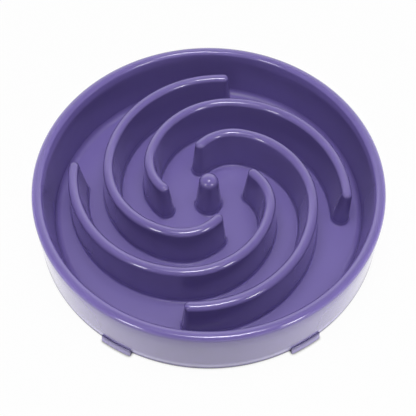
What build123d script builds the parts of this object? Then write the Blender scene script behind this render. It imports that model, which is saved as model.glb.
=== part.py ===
from build123d import *
import os
from math import cos, degrees, radians, sin, sqrt, tan

os.makedirs("parts", exist_ok=True)

# Slow feeder bowl: a moulded bowl, hollow from beneath, with four spiral ridges and a centre post,
# standing on six rubber feet that straddle the lower edge of its skirt.
# Millimetres and degrees. The axis is Z, the table is z = 0, and the feet stand on it.

# Bowl
bowl_height = 48.6  # table to the top of the rim
base_radius = 134.5  # outside of the skirt at its lower edge
edge_height = 1.5  # table to the skirt's lower edge
edge_round = 0.9  # on the outside of that edge
skirt_flare = 3.3  # how far the skirt leans out towards its foot
wall = 2.2  # moulded wall, everywhere
rim_width = 7.3  # across the top of the rim
rim_outer_round = 3.7
rim_inner_round = 2.8
well_draft = 5.0  # lean of the inner wall
floor_height = 5.0  # table to the floor of the well
floor_round = 5.0  # between the inner wall and the floor
blend = 1.5  # between the floor and what stands on it

# Ridges: each follows tangent arcs that open outward, clockwise seen from above
ridge_count = 4
ridge_top = 42.1  # table to the crown
ridge_crown = 4.0  # radius of the rounded top and of the ends
ridge_draft = 5.5
ridge_start_share = 0.287  # inner end's distance from the axis, over the floor's radius
ridge_start_angle = -78.8
ridge_end_gap = 9.0  # from the outer end to the well's wall, at the floor
ridge_lead = 38.1  # how steeply the inner end runs outward
arc_turns = (60.2, 82.3, 88.3)
arc_growth = (1.0, 1.835, 2.546)  # radius of each arc, over the first one's

# Centre post
post_top = 43.6
post_crown = 7.7
post_draft = 5.8

# Feet
foot_names = (
    "foot_right",
    "foot_rear_right",
    "foot_rear_left",
    "foot_left",
    "foot_front_left",
    "foot_front_right",
)
foot_width = 24.0  # round the skirt
foot_rise = 5.3  # up the skirt from its lower edge
foot_proud = 2.6  # outer lip, out from the skirt's lower edge
foot_inner_lip = 2.0
foot_round = 1.0  # outer edges of the outer lip
lip_round = 0.8  # edges of the outer lip that lie on the skirt
foot_turn = 0.8  # of the whole set of feet, round the axis
notch_width = 16.0  # cut-out in the skirt's edge that holds a foot's web
notch_rise = 3.0
clearance = 0.15  # between a foot and the skirt

upright = (0, 0, 1)
foot_count = len(foot_names)
foot_pitch = 360 / foot_count


def skirt_outside(z):
    """Radius of the skirt's outer face at height z."""
    return base_radius - (z - edge_height) * tan(radians(skirt_flare))


def skirt_inside(z):
    """Radius of the skirt's hidden face at height z."""
    return skirt_outside(z) - wall / cos(radians(skirt_flare))


def well_inside(z):
    """Radius of the well's wall at height z."""
    lean = (bowl_height - z) * tan(radians(well_draft))
    return skirt_outside(bowl_height) - rim_width - lean


def well_outside(z):
    """Radius of the hidden face of the well's wall at height z."""
    return well_inside(z) + wall / cos(radians(well_draft))


def half_width(crown, top, draft, z):
    """Half the width of a rounded, drafted upstand at height z below its crown."""
    return crown / cos(radians(draft)) + (top - crown - z) * tan(radians(draft))


def half_profile(plane, crown, top, draft, base, foot_radius):
    """Half section of an upstand, with the round where it stands on the base and a strip of the base."""
    lean = radians(draft)
    center = top - crown
    shoulder = (crown * cos(lean), center + crown * sin(lean))
    round_x = half_width(crown, top, draft, base + foot_radius) + foot_radius / cos(lean)
    round_z = base + foot_radius
    ankle = (round_x - foot_radius * cos(lean), round_z - foot_radius * sin(lean))
    strip = round_x + wall / 2
    with BuildSketch(plane) as half:
        with BuildLine():
            CenterArc((0, center), crown, draft, 90 - draft)
            Line(shoulder, ankle)
            CenterArc((round_x, round_z), foot_radius, 180 + draft, 90 - draft)
            Polyline((round_x, base), (strip, base), (strip, base - wall), (0, base - wall), (0, top))
        make_face()
    return half.sketch


def full_profile(plane, *section):
    """Both halves of that section."""
    with BuildSketch(plane) as full:
        add(half_profile(Plane.XY, *section))
        mirror(about=Plane.YZ)
    return full.sketch


def cross_plane(point, tangent):
    """Upright plane across a path at a point on it."""
    return Plane(point, x_dir=tangent.rotate(Axis.Z, 90), z_dir=tangent)


def tangent_arcs(point, heading, radius):
    """The ridges' arcs, one after the other, from the first one's radius."""
    arcs = []
    for growth, turn in zip(arc_growth, arc_turns):
        with BuildLine():
            arc = JernArc(point, heading, radius * growth, -turn)
        point = arc @ 1
        heading = arc % 1
        arcs.append(arc)
    return arcs


# The arcs' size follows from where a ridge has to start and end
start = Vector(ridge_start_share * well_inside(floor_height), 0).rotate(Axis.Z, ridge_start_angle)
heading = Vector(1, 0).rotate(Axis.Z, ridge_start_angle - 90 + ridge_lead)
end_radius = (
    well_inside(floor_height)
    - ridge_end_gap
    - half_width(ridge_crown, ridge_top, ridge_draft, floor_height)
)
reach = tangent_arcs(Vector(0, 0), heading, 1)[-1] @ 1
along = start.dot(reach)
span = end_radius**2 - start.length**2
first_radius = (sqrt(along**2 + span * reach.length**2) - along) / reach.length**2
spine = tangent_arcs(start, heading, first_radius)


def spiral_upstand(crown, top, base, foot_radius):
    """One ridge along the spine, or the hollow inside it: a turn for each arc and a round at each end."""
    section = (crown, top, ridge_draft, base, foot_radius)
    first = cross_plane(spine[0] @ 0, spine[0] % 0)
    last = cross_plane(spine[-1] @ 1, spine[-1] % 1)
    with BuildPart() as upstand:
        for arc, turn in zip(spine, arc_turns):
            across = full_profile(cross_plane(arc @ 0, arc % 0), *section)
            revolve(across, Axis(arc.arc_center, upright), -turn)
        revolve(half_profile(first, *section), Axis(first.origin, upright), 180)
        revolve(half_profile(last, *section), Axis(last.origin, upright), -180)
    return upstand.part


ridge = spiral_upstand(ridge_crown, ridge_top, floor_height, blend)
ridge_hollow = spiral_upstand(ridge_crown - wall, ridge_top - wall, floor_height - wall, blend + wall)

with BuildPart() as bowl:
    # Skirt, rim, well and floor, still solid underneath
    with BuildSketch(Plane.XZ):
        with BuildLine():
            FilletPolyline(
                (0, edge_height),
                (base_radius, edge_height),
                (skirt_outside(bowl_height), bowl_height),
                (well_inside(bowl_height), bowl_height),
                (well_inside(floor_height), floor_height),
                (0, floor_height),
                radius=(0, edge_round, rim_outer_round, rim_inner_round, floor_round, 0),
                close=True,
            )
        make_face()
    revolve()
    with PolarLocations(0, ridge_count):
        add(ridge)
    revolve(half_profile(Plane.XZ, post_crown, post_top, post_draft, floor_height, blend))
    # Hollow underside: a constant wall below the floor, behind the skirt and inside the upstands
    with BuildSketch(Plane.XZ):
        with BuildLine():
            FilletPolyline(
                (0, 0),
                (skirt_inside(0), 0),
                (skirt_inside(bowl_height - wall), bowl_height - wall),
                (well_outside(bowl_height - wall), bowl_height - wall),
                (well_outside(floor_height - wall), floor_height - wall),
                (0, floor_height - wall),
                radius=(
                    0,
                    0,
                    max(rim_outer_round - wall, 0),
                    max(rim_inner_round - wall, 0),
                    floor_round + wall,
                    0,
                ),
                close=True,
            )
        make_face()
    revolve(mode=Mode.SUBTRACT)
    with PolarLocations(0, ridge_count):
        add(ridge_hollow, mode=Mode.SUBTRACT)
    post_hollow = (post_crown - wall, post_top - wall, post_draft, floor_height - wall, blend + wall)
    revolve(half_profile(Plane.XZ, *post_hollow), mode=Mode.SUBTRACT)
    # Notches for the feet
    with BuildSketch():
        with PolarLocations(base_radius - wall / 2, foot_count, start_angle=foot_turn):
            Rectangle(3 * wall, notch_width)
    extrude(amount=edge_height + notch_rise, mode=Mode.SUBTRACT)

bowl.part.label = "bowl"
export_step(bowl.part, "parts/bowl.step")

foot_top = edge_height + foot_rise
foot_span = degrees(foot_width / base_radius)
groove_bottom = edge_height - clearance

with BuildPart() as foot:
    # Block round the skirt's edge, centred on the X axis
    with BuildSketch(Plane.XZ.rotated((0, 0, -foot_span / 2))):
        with BuildLine():
            Polyline(
                (skirt_inside(edge_height) - clearance - foot_inner_lip, 0),
                (base_radius + foot_proud, 0),
                (base_radius + foot_proud, foot_top),
                (skirt_inside(edge_height) - clearance - foot_inner_lip, foot_top),
                close=True,
            )
        make_face()
    revolve(revolution_arc=foot_span)
    # Groove that takes the skirt's wall
    with BuildSketch(Plane.XZ):
        with BuildLine():
            Polyline(
                (skirt_inside(groove_bottom) - clearance, groove_bottom),
                (skirt_outside(groove_bottom) + clearance, groove_bottom),
                (skirt_outside(foot_top) + clearance, foot_top),
                (skirt_inside(foot_top) - clearance, foot_top),
                close=True,
            )
        make_face()
    revolve(mode=Mode.SUBTRACT)
    # Rounded outer lip, which leaves a crease along the skirt
    outer_face = foot.faces().sort_by_distance((0, 0, 0))[-1]
    fillet(outer_face.edges(), foot_round)
    groove_face = foot.faces().filter_by(GeomType.CONE).sort_by_distance((0, 0, 0))[-1]
    fillet(groove_face.edges().sort_by(Axis.Z)[1:], lip_round)
    # Web through the notch
    with BuildSketch():
        with Locations((base_radius - wall / 2, 0)):
            Rectangle(2 * wall, notch_width - 2 * clearance)
    extrude(amount=edge_height + notch_rise - clearance)

for index, foot_name in enumerate(foot_names):
    with BuildPart() as placed_foot:
        add(foot.part, rotation=(0, 0, foot_turn + index * foot_pitch))
    placed_foot.part.label = foot_name
    export_step(placed_foot.part, f"parts/{foot_name}.step")
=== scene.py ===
from math import asin, ceil, cos, hypot, pi, radians, sin, sqrt, tan

import bmesh
import bpy
import numpy as np
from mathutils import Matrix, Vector
from mathutils.geometry import delaunay_2d_cdt


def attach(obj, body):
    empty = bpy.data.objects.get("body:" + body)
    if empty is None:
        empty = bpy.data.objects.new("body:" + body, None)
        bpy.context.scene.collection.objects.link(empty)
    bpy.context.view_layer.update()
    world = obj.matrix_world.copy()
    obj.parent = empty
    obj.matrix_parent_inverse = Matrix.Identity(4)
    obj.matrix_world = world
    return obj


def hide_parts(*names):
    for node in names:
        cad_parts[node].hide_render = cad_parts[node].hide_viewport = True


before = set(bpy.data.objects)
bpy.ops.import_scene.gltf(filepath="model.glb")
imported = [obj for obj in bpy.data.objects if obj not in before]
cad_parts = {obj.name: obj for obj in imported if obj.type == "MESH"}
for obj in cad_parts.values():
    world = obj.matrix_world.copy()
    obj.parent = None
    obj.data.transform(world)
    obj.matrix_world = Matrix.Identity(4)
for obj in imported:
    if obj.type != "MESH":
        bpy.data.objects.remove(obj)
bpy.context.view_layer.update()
scene = bpy.context.scene

# Sizes of the part in millimetres and degrees, as in its source but for the rim's inner round
bowl_height = 48.6  # table to the top of the rim
base_radius = 134.5  # outside of the skirt at its lower edge
edge_height = 1.5  # table to the skirt's lower edge
edge_round = 0.9
skirt_flare = 3.3  # how far the skirt leans out towards its foot
wall = 2.2
rim_width = 7.3
rim_outer_round = 3.7
rim_inner_round = 3.5  # 2.8 in the source; the photo's rim is a little fuller
well_draft = 5.0
floor_height = 5.0
floor_round = 5.0
blend = 1.5  # between the floor and what stands on it
ridge_count = 4
ridge_top = 42.1
ridge_crown = 4.0
ridge_draft = 5.5
ridge_start_share = 0.287  # inner end's distance from the axis, over the floor's radius
ridge_start_angle = -78.8
ridge_end_gap = 9.0  # from the outer end to the well's wall, at the floor
ridge_lead = 38.1  # how steeply the inner end runs outward
arc_turns = (60.2, 82.3, 88.3)
arc_growth = (1.0, 1.835, 2.546)  # radius of each arc, over the first one's
post_top = 43.6
post_crown = 7.7
post_draft = 5.8
foot_count = 6
foot_turn = 0.8  # of the whole set of feet, round the axis
notch_width = 16.0
notch_rise = 3.0

# A form of this script alone: share of a foot's outer lip that is drawn in at its top
lip_taper = 0.6

# Fineness of the mesh
MM = 0.001  # in metres
TINY = 1e-6  # difference below which two places or directions count as one
ARC_STEP = radians(8)
ARC_LEAST = 2  # steps on a round, however small
STRAIGHT_STEP = 9.0
SPINE_STEP = 1.6
SPINE_LEAST = 4  # steps on an arc of the spine, however short
CAP_STEPS = 20
POST_STEPS = 72
NOTCH_STEPS = 6
SKIRT_STEPS = 54
FILL_TOLERANCE = 1e-7
WELD = 1e-6  # metres, for the points of a foot
SLIVER = 5e-6  # metres, edges of a foot that are taken out
SHARP_EDGE = radians(40)

# Plastic and rubber: linear colours, roughness range, grain per metre, bump and clear coat
PLASTIC = {
    "dark": (0.131, 0.098, 0.296, 1),
    "light": (0.153, 0.116, 0.342, 1),
    "rough": (0.10, 0.15),
    "grain": 900.0,
    "bump": 0.02,
    "coat": 0.75,
}
RUBBER = {
    "dark": (0.235, 0.195, 0.430, 1),
    "light": (0.265, 0.222, 0.480, 1),
    "rough": (0.22, 0.30),
    "grain": 1400.0,
    "bump": 0.10,
    "coat": 1.0,
}
SPECULAR_LEVEL = 0.40
GRAIN_DEPTH = 0.0002  # metres
FLOW_NOISE = [("Scale", 22.0), ("Detail", 4.0), ("Distortion", 0.6)]
GLOSS_NOISE = [("Scale", 60.0), ("Detail", 5.0)]
GRAIN_DETAIL = 3.0

# Wear, and painted light and shade on the skirt's lower edge and the feet, by heights above the table in
# millimetres
DULL_TO = 18.0  # above it the inside is fully glossy
DULL_ROUGHNESS = 0.22
UNDER_RIM = (34.0, 45.0, 47.0)  # less glossy skirt: start, dullest and end
UNDER_RIM_SHARE = 0.8
COAT_LEFT = 0.1  # share of the coat that the dullest places keep
PAINTED_REFLECTION = (4.6, 6.6, 10.6)  # painted reflection along the skirt's lower edge: start, palest and end
PAINTED_REFLECTION_SHARE = 0.75
# Colour of the painted reflection: a paler band along the skirt's lower edge
PAINTED_PALE = (0.46, 0.42, 0.72, 1)
SHADOW_LINE_TO = 2.8  # painted shadow line along the skirt's lower edge: full below it, and gone where the painted reflection starts
SHADOW_LINE_SHARE = 0.95
# Colour of painted shade, along the skirt's lower edge and in the crease where the feet meet the skirt
PAINTED_SHADE = (0.034, 0.027, 0.095, 1)
CREASE_SHADE = (3.2, 6.8)  # painted shade in a foot's crease: height where it starts, and where it is darkest
CREASE_SHADE_SHARE = 0.75

# Table and room, in metres
TABLE_SIZE = 6.0
TABLE_DROP = 0.0002  # below the feet
TABLE_GREY = (0.58, 0.58, 0.58, 1)
WHITE = (1, 1, 1, 1)
GLOW_DISTANCES = (0.25, 0.9)  # from the axis: where the table's glow starts to rise, and is full
GLOW_NEAR = 0.96
CONTACT = (0.002, 0.0035)  # reach of the contact shadow: to the eye, and in reflections
CONTACT_SAMPLES = 12
CONTACT_OPEN = (0.45, 0.95)  # openness at the darkest and at the lightest of that shadow
CONTACT_DARKEST = 0.2
AMBIENT = 0.10
REAR_REACH = (0.34, 0.72)  # share of a direction that points to the rear
REAR_LEVELS = (0.20, 1.40)
LOW_REACH = (0.10, 0.40)  # share of a direction that points up
LAMP_AIM = Vector((0, 0, 0.03))

# Camera, fitted to the bowl's outlines in a square picture
CAMERA_TARGET = Vector((-0.0004752, -0.02858196, 0.0451))
CAMERA_DISTANCE = 0.4951716
CAMERA_ELEVATION = radians(57.898)
CAMERA_LENS = 58.732  # millimetres
CAMERA_SENSOR = 36


def skirt_outside(z):
    """Radius of the skirt's outer face at height z."""
    return base_radius - (z - edge_height) * tan(radians(skirt_flare))


def skirt_inside(z):
    """Radius of the skirt's hidden face at height z."""
    return skirt_outside(z) - wall / cos(radians(skirt_flare))


def well_inside(z):
    """Radius of the well's wall at height z."""
    return skirt_outside(bowl_height) - rim_width - (bowl_height - z) * tan(radians(well_draft))


def well_outside(z):
    """Radius of the hidden face of the well's wall at height z."""
    return well_inside(z) + wall / cos(radians(well_draft))


def half_width(crown, top, draft, z):
    """Half the width of a rounded, drafted upstand at height z below its crown."""
    return crown / cos(radians(draft)) + (top - crown - z) * tan(radians(draft))


def turned(vector, angle):
    """A flat vector, turned."""
    c, s = cos(angle), sin(angle)
    return np.array((c * vector[0] - s * vector[1], s * vector[0] + c * vector[1]))


def rounded_runs(corners, radii):
    """Points and left-hand normals along a line with rounded corners, as one run between sharp corners."""
    corners = [np.array(c, float) for c in corners]
    headings = []
    for a, b in zip(corners, corners[1:]):
        headings.append((b - a) / np.linalg.norm(b - a))
    runs = [[]]

    def put(point, heading):
        run = runs[-1]
        if not run or np.linalg.norm(run[-1][0] - point) > TINY:
            run.append((point, turned(heading, pi / 2)))

    trim = 0.0
    for i, heading in enumerate(headings):
        radius = radii[i + 1] if i + 1 < len(headings) else 0.0
        turn = 0.0
        if radius:
            after = headings[i + 1]
            turn = np.arctan2(heading[0] * after[1] - heading[1] * after[0], heading @ after)
        next_trim = radius * tan(abs(turn) / 2)
        begin = corners[i] + heading * trim
        end = corners[i + 1] - heading * next_trim
        steps = max(1, ceil(np.linalg.norm(end - begin) / STRAIGHT_STEP))
        for t in np.linspace(0, 1, steps + 1):
            put(begin + (end - begin) * t, heading)
        if radius:
            center = end + turned(heading, pi / 2) * radius * np.sign(turn)
            for t in np.linspace(0, 1, max(ARC_LEAST, ceil(abs(turn) / ARC_STEP)) + 1)[1:]:
                put(center + turned(end - center, turn * t), turned(heading, turn * t))
        else:
            runs.append([])
        trim = next_trim
    return [(np.array([p for p, _ in r]), np.array([n for _, n in r])) for r in runs if r]


def within(points, polygon):
    """Which points lie inside a polygon, by counting crossings."""
    x, y = points[:, 0][:, None], points[:, 1][:, None]
    ax, ay = polygon[:, 0][None], polygon[:, 1][None]
    bx, by = np.roll(polygon[:, 0], -1)[None], np.roll(polygon[:, 1], -1)[None]
    crosses = (ay > y) != (by > y)
    rise = np.where(crosses, by - ay, 1.0)
    left_of = x < (bx - ax) * (y - ay) / rise + ax
    return (crosses & left_of).sum(axis=1) % 2 == 1


class Shell:
    """A mesh made of strips that share their points, with a true normal at each corner of each face."""

    def __init__(self):
        self.points = []
        self.faces = []
        self.normals = []

    def put(self, points):
        """Adds points and returns their numbers."""
        first = len(self.points)
        self.points.extend(np.asarray(points, float).reshape(-1, 3))
        return np.arange(first, len(self.points))

    def face(self, ids, normals):
        """Adds a face without repeated corners, turned to the side that its normals point to."""
        keep = [k for k in range(len(ids)) if ids[k] != ids[k - 1]]
        ids = [int(ids[k]) for k in keep]
        normals = [normals[k] for k in keep]
        corners = np.array([self.points[i] for i in ids])
        area = np.zeros(3)
        for a, b in zip(corners[1:], corners[2:]):
            area += np.cross(a - corners[0], b - corners[0])
        if area @ np.sum(normals, axis=0) < 0:
            ids.reverse()
            normals.reverse()
        self.faces.append(ids)
        self.normals.extend(normals)

    def grid(self, ids, normals, skip=()):
        """Faces between rows of points, round in a ring; a skipped column is left open."""
        rows, columns = ids.shape
        for c in range(columns):
            if c in skip:
                continue
            n = (c + 1) % columns
            for r in range(rows - 1):
                corner_ids = (ids[r, c], ids[r, n], ids[r + 1, n], ids[r + 1, c])
                corner_normals = [normals[r, c], normals[r, n], normals[r + 1, n], normals[r + 1, c]]
                self.face(corner_ids, corner_normals)

    def fill(self, outline, holes, normal):
        """A flat face inside an outline and outside some holes."""
        loops = [list(outline)] + [list(h) for h in holes]
        ids = [i for loop in loops for i in loop]
        flat = np.array([self.points[i][:2] for i in ids])
        edges = []
        polygons = []
        first = 0
        for loop in loops:
            count = len(loop)
            edges += [(first + k, first + (k + 1) % count) for k in range(count)]
            polygons.append(flat[first:first + count])
            first += count
        filled = delaunay_2d_cdt([Vector(p) for p in flat], edges, [], 0, FILL_TOLERANCE)
        _, _, faces, sources, _, _ = filled
        origin = [ids[s[0]] for s in sources]
        triangles = np.array([[origin[i] for i in f] for f in faces])
        corners = np.array([self.points[i][:2] for i in triangles.ravel()])
        middles = corners.reshape(-1, 3, 2).mean(axis=1)
        inside = within(middles, polygons[0])
        for polygon in polygons[1:]:
            inside &= ~within(middles, polygon)
        for triangle in triangles[inside]:
            self.face(list(triangle), [normal] * 3)

    def build(self, name):
        """The mesh as an object in the scene."""
        mesh = bpy.data.meshes.new(name)
        mesh.from_pydata([tuple(p * MM) for p in self.points], [], self.faces)
        mesh.polygons.foreach_set("use_smooth", [True] * len(mesh.polygons))
        mesh.update()
        mesh.normals_split_custom_set([tuple(n) for n in self.normals])
        piece = bpy.data.objects.new(name, mesh)
        scene.collection.objects.link(piece)
        return piece


def upstand_profile(crown, top, draft, base, foot_radius):
    """Half section of a ridge or the post, from the top of its crown out to the floor."""
    brow = half_width(crown, top, draft, top)
    toe = half_width(crown, top, draft, base)
    far = toe + 2 * foot_radius
    runs = rounded_runs([(0, top), (brow, top), (toe, base), (far, base)], [0, crown, foot_radius, 0])
    points, normals = runs[0]
    return points[:-1], normals[:-1]


def add_upstand(shell, profile, tops, places, outs, facing):
    """A profile carried round a closed line of places; returns the outline where it meets the floor."""
    points, normals = profile
    ids = [np.array(tops)]
    for offset, height in points[1:]:
        row = [(x + offset * ox, y + offset * oy, height) for (x, y), (ox, oy) in zip(places, outs)]
        ids.append(shell.put(row))
    rows = []
    for across, up in normals:
        rows.append([(facing * across * ox, facing * across * oy, facing * up) for ox, oy in outs])
    shell.grid(np.array(ids), np.array(rows))
    return ids[-1]


def spine_stations(start, heading, radius):
    """Points and headings along the ridge's tangent arcs."""
    stations = [(np.array(start, float), heading)]
    for growth, turn in zip(arc_growth, arc_turns):
        point, facing = stations[-1]
        size = radius * growth
        center = point + size * np.array((sin(facing), -cos(facing)))
        steps = max(SPINE_LEAST, ceil(size * radians(turn) / SPINE_STEP))
        for t in np.linspace(0, 1, steps + 1)[1:]:
            now = facing - radians(turn) * t
            stations.append((center + size * np.array((-sin(now), cos(now))), now))
    return stations


def ridge_spine():
    """The stations of the first ridge, sized so that it starts and ends where it should."""
    floor_radius = well_inside(floor_height)
    angle = radians(ridge_start_angle)
    start = ridge_start_share * floor_radius * np.array((cos(angle), sin(angle)))
    heading = radians(ridge_start_angle - 90 + ridge_lead)
    toe = half_width(ridge_crown, ridge_top, ridge_draft, floor_height)
    end_radius = floor_radius - ridge_end_gap - toe
    reach = spine_stations((0, 0), heading, 1)[-1][0]
    along = start @ reach
    span = end_radius**2 - start @ start
    first_radius = (sqrt(along**2 + span * (reach @ reach)) - along) / (reach @ reach)
    return spine_stations(start, heading, first_radius)


def closed_line(stations, turn):
    """Places and outward directions round both sides and ends of a ridge, and each place's station."""
    places, outs, station_of = [], [], []

    def put(k, side):
        point, heading = stations[k]
        places.append(turned(point, turn))
        outs.append((cos(heading + side + turn), sin(heading + side + turn)))
        station_of.append(k)

    last = len(stations) - 1
    for k in range(last + 1):
        put(k, pi / 2)
    for side in np.linspace(pi / 2, -pi / 2, CAP_STEPS + 1)[1:-1]:
        put(last, side)
    for k in range(last, -1, -1):
        put(k, -pi / 2)
    for side in np.linspace(-pi / 2, -3 * pi / 2, CAP_STEPS + 1)[1:-1]:
        put(0, side)
    return places, outs, station_of


def add_upstands(shell, inset, facing):
    """The four ridges and the post, or their hollows one wall further in; returns their outlines."""
    base = floor_height - inset
    outlines = []
    profile = upstand_profile(ridge_crown - inset, ridge_top - inset, ridge_draft, base, blend + inset)
    stations = ridge_spine()
    for k in range(ridge_count):
        turn = 2 * pi * k / ridge_count
        places, outs, station_of = closed_line(stations, turn)
        crest = shell.put([(*turned(p, turn), ridge_top - inset) for p, _ in stations])
        outlines.append(add_upstand(shell, profile, crest[station_of], places, outs, facing))
    profile = upstand_profile(post_crown - inset, post_top - inset, post_draft, base, blend + inset)
    outs = [(cos(a), sin(a)) for a in np.linspace(0, 2 * pi, POST_STEPS, endpoint=False)]
    peak = shell.put([(0, 0, post_top - inset)])
    tops = peak[[0] * POST_STEPS]
    places = [(0, 0)] * POST_STEPS
    outlines.append(add_upstand(shell, profile, tops, places, outs, facing))
    return outlines


def bowl_runs(notch_top):
    """The turned skin's section, from the floor over the rim and round the skirt to the underside."""
    hidden_top = bowl_height - wall
    underside = floor_height - wall
    runs = rounded_runs(
        [
            (0, floor_height),
            (well_inside(floor_height), floor_height),
            (well_inside(bowl_height), bowl_height),
            (skirt_outside(bowl_height), bowl_height),
            (skirt_outside(notch_top), notch_top),
            (base_radius, edge_height),
            (skirt_inside(edge_height), edge_height),
            (skirt_inside(notch_top), notch_top),
            (skirt_inside(hidden_top), hidden_top),
            (well_outside(hidden_top), hidden_top),
            (well_outside(underside), underside),
            (0, underside),
        ],
        [
            0,
            floor_round,
            rim_inner_round,
            rim_outer_round,
            0,
            edge_round,
            0,
            0,
            max(rim_outer_round - wall, 0),
            max(rim_inner_round - wall, 0),
            floor_round + wall,
            0,
        ],
    )
    # The flat floor and underside are filled later, so this skin starts and ends at their rounds
    points, normals = runs[0]
    level = (normals[:, 1] > 1 - TINY) & (points[:, 1] < floor_height + TINY)
    first = np.flatnonzero(level)[-1]
    runs[0] = (points[first:], normals[first:])
    points, normals = runs[-1]
    level = (normals[:, 1] < -1 + TINY) & (points[:, 1] < floor_height)
    last = np.flatnonzero(level)[0]
    runs[-1] = (points[:last + 1], normals[:last + 1])
    return runs


def notch_half_angle(radius):
    """Half the angle that a notch takes at a radius, as its sides are parallel."""
    return asin(notch_width / 2 / radius)


def skin_columns():
    """Columns round the axis as angle and notch side, the ones left open, and the notches' sides."""
    columns, open_columns, sides = [], [], []
    half_notch = notch_half_angle(base_radius)
    gap = 2 * pi / foot_count - 2 * half_notch
    for k in range(foot_count):
        middle = radians(foot_turn) + 2 * pi * k / foot_count
        for t in np.linspace(-1, 1, NOTCH_STEPS + 1):
            side = int(t) if abs(t) == 1 else 0
            if side:
                sides.append((len(columns), side, middle))
            if t < 1:
                open_columns.append(len(columns))
            columns.append((middle + half_notch * t, side))
        for t in np.linspace(0, 1, SKIRT_STEPS + 1)[1:-1]:
            columns.append((middle + half_notch + gap * t, 0))
    return columns, open_columns, sides


def build_bowl():
    """The moulded bowl as one closed skin: turned walls, upstands, floor, underside and notches."""
    shell = Shell()
    notch_top = edge_height + notch_rise
    columns, open_columns, sides = skin_columns()
    rings, notched_rings = [], []
    for points, normals in bowl_runs(notch_top):
        ids, facing = [], []
        for k, ((radius, height), (out, up)) in enumerate(zip(points, normals)):
            shift = notch_half_angle(radius) - notch_half_angle(base_radius)
            around = np.array([angle + side * shift for angle, side in columns])
            c, s = np.cos(around), np.sin(around)
            if k or not rings:
                rings.append(shell.put(np.stack([radius * c, radius * s, np.full_like(c, height)], axis=1)))
            ids.append(rings[-1])
            facing.append(np.stack([out * c, out * s, np.full_like(c, up)], axis=1))
        notched = points[:, 1].max() < notch_top + TINY
        shell.grid(np.array(ids), np.array(facing), open_columns if notched else ())
        if notched:
            notched_rings += ids[1:] if notched_rings else ids

    outer, inner = notched_rings[0], notched_rings[-1]
    for c in open_columns:
        shell.face((outer[c], outer[c + 1], inner[c + 1], inner[c]), [(0, 0, -1)] * 4)
    for c, side, middle in sides:
        into = (side * sin(middle), -side * cos(middle), 0)
        shell.face([r[c] for r in notched_rings], [into] * len(notched_rings))

    shell.fill(rings[0], add_upstands(shell, 0, 1), (0, 0, 1))
    shell.fill(rings[-1], add_upstands(shell, wall, -1), (0, 0, -1))
    return shell.build("bowl_moulding")


def thin_lip(foot):
    """A foot from the frame, with the outer lip drawn in towards its top."""
    mesh = foot.data.copy()
    work = bmesh.new()
    work.from_mesh(mesh)
    bmesh.ops.remove_doubles(work, verts=work.verts, dist=WELD)
    top = max(v.co.z for v in work.verts)
    for vertex in work.verts:
        radius = hypot(vertex.co.x, vertex.co.y)
        seat = skirt_outside(vertex.co.z / MM) * MM
        if radius > seat:
            rise = vertex.co.z / top
            drawn_in = seat + (radius - seat) * (1 - lip_taper * rise)
            vertex.co.x *= drawn_in / radius
            vertex.co.y *= drawn_in / radius
    bmesh.ops.dissolve_degenerate(work, edges=work.edges, dist=SLIVER)
    work.to_mesh(mesh)
    work.free()
    if "custom_normal" in mesh.attributes:
        mesh.attributes.remove(mesh.attributes["custom_normal"])
    mesh.polygons.foreach_set("use_smooth", [True] * len(mesh.polygons))
    mesh.set_sharp_from_angle(angle=SHARP_EDGE)
    piece = bpy.data.objects.new(foot.name + "_pad", mesh)
    scene.collection.objects.link(piece)
    return piece


def node(tree, kind, inputs=(), **settings):
    """A shader node with its settings, and values or links in its inputs."""
    made = tree.nodes.new(kind)
    for name, value in settings.items():
        setattr(made, name, value)
    for socket, source in inputs:
        if isinstance(source, bpy.types.NodeSocket):
            tree.links.new(source, made.inputs[socket])
        else:
            made.inputs[socket].default_value = source
    return made


def ramp(tree, value, low, high, begin, finish):
    """A value carried from one range to another, and held at its ends."""
    ends = [("Value", value), ("From Min", low), ("From Max", high), ("To Min", begin), ("To Max", finish)]
    return node(tree, "ShaderNodeMapRange", ends).outputs["Result"]


def combine(tree, operation, *values):
    """Values put together by an operation such as a product or maximum."""
    return node(tree, "ShaderNodeMath", list(enumerate(values)), operation=operation).outputs[0]


def blend_colours(tree, share, first, second):
    """The first colour, giving way to the second one by a share."""
    return node(tree, "ShaderNodeMix", [(0, share), (6, first), (7, second)], data_type="RGBA").outputs[2]


def here(tree):
    """The place on a piece, in metres, and its height."""
    place = node(tree, "ShaderNodeTexCoord").outputs["Object"]
    return place, node(tree, "ShaderNodeSeparateXYZ", [(0, place)]).outputs["Z"]


def moulded(name, dark, light, rough, grain, bump, coat):
    """Moulded surface: faint flow in its colour, uneven gloss and a fine grain."""
    material = bpy.data.materials.new(name)
    material.use_nodes = True
    tree = material.node_tree
    shader = tree.nodes["Principled BSDF"]
    shader.inputs["Coat Weight"].default_value = coat
    shader.inputs["Coat Roughness"].default_value = rough[0]
    shader.inputs["Specular IOR Level"].default_value = SPECULAR_LEVEL
    place, _ = here(tree)
    flow = node(tree, "ShaderNodeTexNoise", [("Vector", place)] + FLOW_NOISE).outputs["Fac"]
    tree.links.new(blend_colours(tree, flow, dark, light), shader.inputs["Base Color"])
    cloud = node(tree, "ShaderNodeTexNoise", [("Vector", place)] + GLOSS_NOISE).outputs["Fac"]
    tree.links.new(ramp(tree, cloud, 0.0, 1.0, *rough), shader.inputs["Roughness"])
    grains = [("Vector", place), ("Scale", grain), ("Detail", GRAIN_DETAIL)]
    fine = node(tree, "ShaderNodeTexNoise", grains).outputs["Fac"]
    relief = [("Height", fine), ("Strength", bump), ("Distance", GRAIN_DEPTH)]
    tree.links.new(node(tree, "ShaderNodeBump", relief).outputs["Normal"], shader.inputs["Normal"])
    return material


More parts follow.
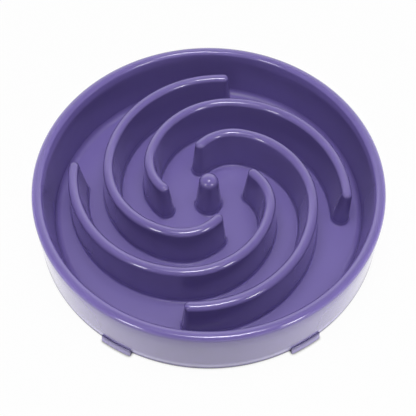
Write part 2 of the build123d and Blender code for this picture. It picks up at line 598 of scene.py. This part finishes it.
def wear_and_painted_light(material, coat):
    """Dull floor and less shine under the rim. On the skirt's lower edge, a pale painted reflection above a
    painted shadow line.
    """
    tree = material.node_tree
    shader = tree.nodes["Principled BSDF"]
    place, height = here(tree)
    level = node(tree, "ShaderNodeVectorMath", [(0, place), (1, (1, 1, 0))], operation="MULTIPLY")
    radius = node(tree, "ShaderNodeVectorMath", [(0, level.outputs[0])], operation="LENGTH").outputs["Value"]

    def climb(low, high, begin, finish):
        return ramp(tree, height, low * MM, high * MM, begin, finish)

    def product(*values):
        return combine(tree, "MULTIPLY", *values)

    well, skirt = well_inside(bowl_height) * MM, skirt_inside(bowl_height) * MM
    outside = ramp(tree, radius, well, skirt, 0.0, 1.0)
    inside = combine(tree, "SUBTRACT", 1.0, outside)

    dull = product(inside, climb(floor_height, DULL_TO, 1.0, 0.0))
    gloss = shader.inputs["Roughness"].links[0].from_socket
    rougher = combine(tree, "MULTIPLY_ADD", dull, DULL_ROUGHNESS, gloss)
    tree.links.new(rougher, shader.inputs["Roughness"])

    start, dullest, end = UNDER_RIM
    matt = product(product(climb(start, dullest, 0.0, 1.0), climb(dullest, end, 1.0, 0.0)), outside)
    start, palest, end = PAINTED_REFLECTION
    # Painted shadow line along the skirt's lower edge, which also takes the coat off there
    shade_mask = product(climb(SHADOW_LINE_TO, start, SHADOW_LINE_SHARE, 0.0), outside)
    less = combine(tree, "MAXIMUM", combine(tree, "MAXIMUM", dull, shade_mask), product(matt, UNDER_RIM_SHARE))
    tree.links.new(ramp(tree, less, 0.0, 1.0, coat, COAT_LEFT * coat), shader.inputs["Coat Weight"])

    # Painted reflection: a paler band on the skirt just above the painted shadow line
    reflection_mask = product(climb(start, palest, 0.0, 1.0), climb(palest, end, PAINTED_REFLECTION_SHARE, 0.0))
    colour = shader.inputs["Base Color"].links[0].from_socket
    pale = blend_colours(tree, product(reflection_mask, outside), colour, PAINTED_PALE)
    tree.links.new(blend_colours(tree, shade_mask, pale, PAINTED_SHADE), shader.inputs["Base Color"])


def shade_joint(material):
    """Painted shade that deepens towards the crease between a foot and the skirt."""
    tree = material.node_tree
    shader = tree.nodes["Principled BSDF"]
    _, height = here(tree)
    unshaded, deepest = CREASE_SHADE
    # Painted shade: a foot gets darker towards its top, where it meets the skirt
    shade_mask = ramp(tree, height, unshaded * MM, deepest * MM, 0.0, CREASE_SHADE_SHARE)
    colour = shader.inputs["Base Color"].links[0].from_socket
    tree.links.new(blend_colours(tree, shade_mask, colour, PAINTED_SHADE), shader.inputs["Base Color"])


def white_cloth():
    """The table's white: it takes the bowl's shadow, and glows to the eye and in reflections."""
    material = bpy.data.materials.new("table_white")
    material.use_nodes = True
    tree = material.node_tree
    tree.nodes.clear()
    rays = node(tree, "ShaderNodeLightPath").outputs
    mirrored = combine(tree, "MAXIMUM", rays["Is Glossy Ray"], rays["Is Transmission Ray"])
    place, _ = here(tree)
    away = node(tree, "ShaderNodeVectorMath", [(0, place)], operation="LENGTH").outputs["Value"]
    brightness = ramp(tree, away, *GLOW_DISTANCES, GLOW_NEAR, 1.0)
    watched = combine(tree, "MULTIPLY", rays["Is Camera Ray"], brightness)
    share = combine(tree, "MAXIMUM", mirrored, watched)
    reach = ramp(tree, mirrored, 0.0, 1.0, *CONTACT)
    contact = node(tree, "ShaderNodeAmbientOcclusion", [("Distance", reach)], samples=CONTACT_SAMPLES)
    strength = ramp(tree, contact.outputs["AO"], *CONTACT_OPEN, CONTACT_DARKEST, 1.0)
    cloth = node(tree, "ShaderNodeBsdfDiffuse", [("Color", TABLE_GREY)]).outputs[0]
    glow = node(tree, "ShaderNodeEmission", [("Color", WHITE), ("Strength", strength)]).outputs[0]
    both = node(tree, "ShaderNodeMixShader", [(0, share), (1, cloth), (2, glow)]).outputs[0]
    node(tree, "ShaderNodeOutputMaterial", [(0, both)])
    return material


def white_room():
    """A white room: in reflections bright low down and to the rear, and dim overhead and to the front."""
    world = bpy.data.worlds.new("studio")
    world.use_nodes = True
    tree = world.node_tree
    tree.nodes.clear()
    rays = node(tree, "ShaderNodeLightPath").outputs
    way = node(tree, "ShaderNodeTexCoord").outputs["Generated"]
    split = node(tree, "ShaderNodeSeparateXYZ", [(0, way)]).outputs
    rear = ramp(tree, split["Y"], *REAR_REACH, *REAR_LEVELS)
    low = ramp(tree, split["Z"], *LOW_REACH, 1.0, 0.0)
    room = combine(tree, "MAXIMUM", rear, low)
    lit = ramp(tree, rays["Is Glossy Ray"], 0.0, 1.0, AMBIENT, room)
    seen = combine(tree, "MAXIMUM", rays["Is Camera Ray"], rays["Is Transmission Ray"])
    strength = ramp(tree, seen, 0.0, 1.0, lit, 1.0)
    sky = node(tree, "ShaderNodeBackground", [("Color", WHITE), ("Strength", strength)]).outputs[0]
    node(tree, "ShaderNodeOutputWorld", [(0, sky)])
    return world


def lamp(name, place, size, power, diffuse=True, glossy=True):
    """An oval lamp that looks at the bowl."""
    light = bpy.data.lights.new(name, "AREA")
    light.shape = "ELLIPSE"
    light.size, light.size_y = size
    light.energy = power
    holder = bpy.data.objects.new(name, light)
    holder.location = place
    holder.rotation_euler = (LAMP_AIM - Vector(place)).to_track_quat("-Z", "Y").to_euler()
    holder.visible_diffuse = diffuse
    holder.visible_glossy = glossy
    scene.collection.objects.link(holder)


# Bowl
bowl_plastic = moulded("purple_plastic", **PLASTIC)
wear_and_painted_light(bowl_plastic, PLASTIC["coat"])
bowl = build_bowl()
bowl.data.materials.append(bowl_plastic)
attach(bowl, "root")
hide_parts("bowl")

# Feet
foot_rubber = moulded("purple_rubber", **RUBBER)
shade_joint(foot_rubber)
for name, foot in list(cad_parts.items()):
    if name.startswith("foot_"):
        pad = thin_lip(foot)
        pad.data.materials.clear()
        pad.data.materials.append(foot_rubber)
        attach(pad, "root")
        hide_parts(name)

# Table and room
bpy.ops.mesh.primitive_plane_add(size=TABLE_SIZE, location=(0, 0, -TABLE_DROP))
table = bpy.context.object
table.name = "table"
table.data.materials.append(white_cloth())
scene.world = white_room()

# Lamps: soft light from above, small bright ones for the glints, and low ones for the skirt's ends
lamp("softbox", place=(0.0, 0.0, 1.4), size=(2.6, 2.6), power=8.5, glossy=False)
lamp("overhead", place=(0.0, -0.1, 1.3), size=(1.0, 1.0), power=16.2, glossy=False)
lamp("front_glint", place=(0.095, -0.333, 1.095), size=(0.42, 0.10), power=3.5, diffuse=False)
lamp("front_strip", place=(0.05, -0.333, 1.095), size=(0.70, 0.10), power=1.2, diffuse=False)
lamp("left_glint", place=(-0.56, -0.72, 0.44), size=(0.20, 0.20), power=1.6, diffuse=False)
lamp("right_glint", place=(0.60, -0.69, 0.44), size=(0.20, 0.20), power=1.6, diffuse=False)
lamp("left_fill", place=(-1.1, -0.22, 0.08), size=(0.5, 0.12), power=8.0, glossy=False)
lamp("right_fill", place=(1.1, -0.22, 0.08), size=(0.5, 0.12), power=9.5, glossy=False)

# Camera
camera = bpy.data.objects.new("camera", bpy.data.cameras.new("camera"))
camera.data.sensor_width = CAMERA_SENSOR
camera.data.lens = CAMERA_LENS
towards_camera = Vector((0, -cos(CAMERA_ELEVATION), sin(CAMERA_ELEVATION)))
camera.location = CAMERA_TARGET + towards_camera * CAMERA_DISTANCE
camera.rotation_euler = (pi / 2 - CAMERA_ELEVATION, 0, 0)
scene.collection.objects.link(camera)
scene.camera = camera

scene.view_settings.view_transform = "Standard"
